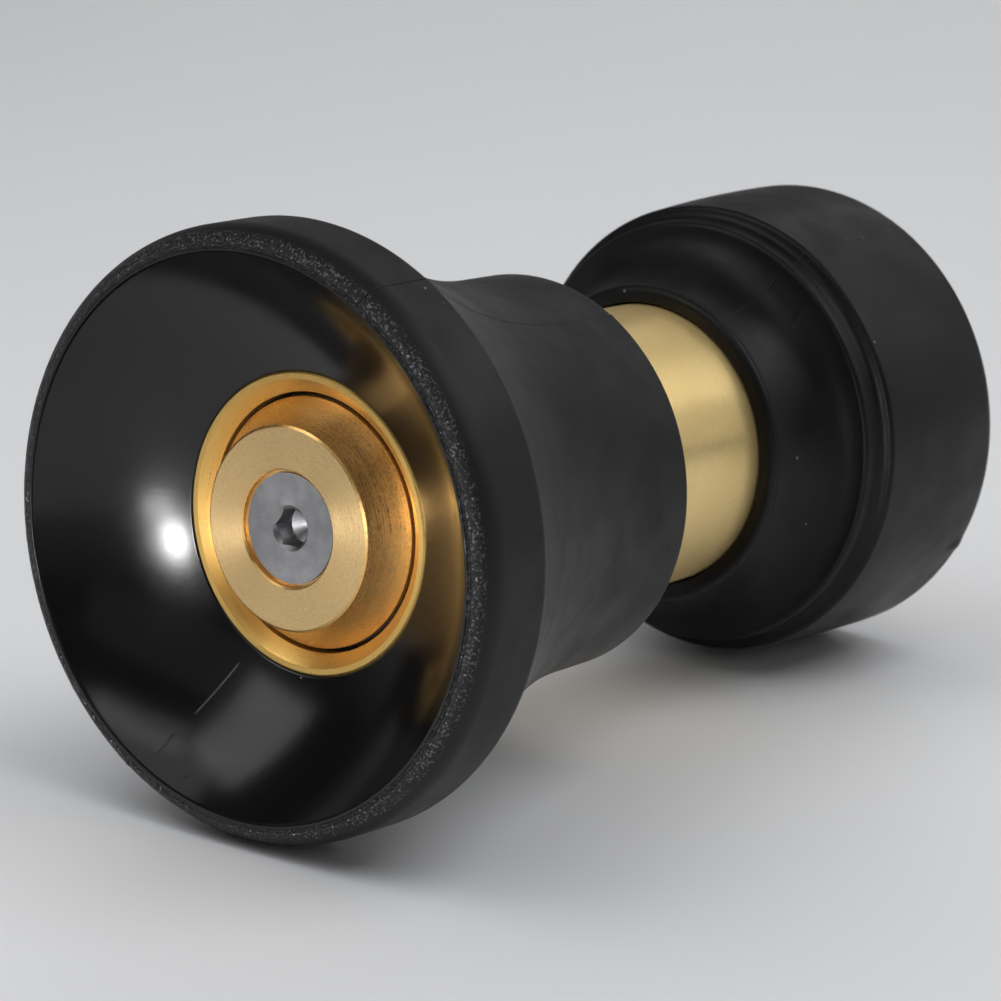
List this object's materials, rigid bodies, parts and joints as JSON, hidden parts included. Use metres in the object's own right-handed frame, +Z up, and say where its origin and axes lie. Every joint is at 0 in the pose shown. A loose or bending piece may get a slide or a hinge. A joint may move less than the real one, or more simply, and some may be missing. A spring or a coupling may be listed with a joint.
{
  "type": "fire hose nozzle",
  "caption": "Twist-to-open fireman-style hose nozzle: brass barrel and pintle, flared rubber front bumper, rubber rear knob and threaded hose inlet.",
  "frame": {"origin": "on the nozzle axis where the hose thread starts, inside the inlet's mouth chamfer", "axes": "+Y along the nozzle axis towards the hose, the spray leaves towards -Y; +Z up; +X to the right when looking along +Y"},
  "size_m": [0.083, 0.1306, 0.083],
  "materials": {
    "brass": "turned and satin brushed",
    "rubber_black": "moulded black rubber, satin outside, gloss inside the bell",
    "washer_rubber": "matte",
    "seal_rubber": "greased satin",
    "stainless": "satin stainless",
    "spring_steel": "dark oiled spring steel",
    "acetal": "natural white acetal"
  },
  "bodies": {
    "inlet": {"rear_bumper": "rubber_black", "coupling": "brass", "hose_washer": "washer_rubber", "inlet_strainer": "stainless", "lock_screws": "stainless", "coupling_o_ring": "seal_rubber", "stem": "brass", "stem_o_ring_rear": "seal_rubber", "stem_o_ring_front": "seal_rubber", "pintle": "brass", "pintle_o_ring": "seal_rubber", "screw_seal": "seal_rubber", "pintle_screw": "stainless"},
    "slider": {"guide_ring": "acetal"},
    "barrel": {"barrel": "brass", "retaining_ring": "spring_steel", "front_bumper": "rubber_black"}
  },
  "joints": [
    {"name": "barrel_advance", "type": "slide", "parent": "inlet", "child": "slider", "axis": [0, -1, 0], "range_m": [0, 0.01]},
    {"name": "barrel_twist", "type": "hinge", "parent": "slider", "child": "barrel", "pos_m": [0, -0.05, 0], "axis": [0, -1, 0], "range_deg": [0, 360]}
  ],
  "couplings": [
    {"joint": "barrel_advance", "follows": "barrel_twist", "m_per_rad": 0.0015915}
  ]
}
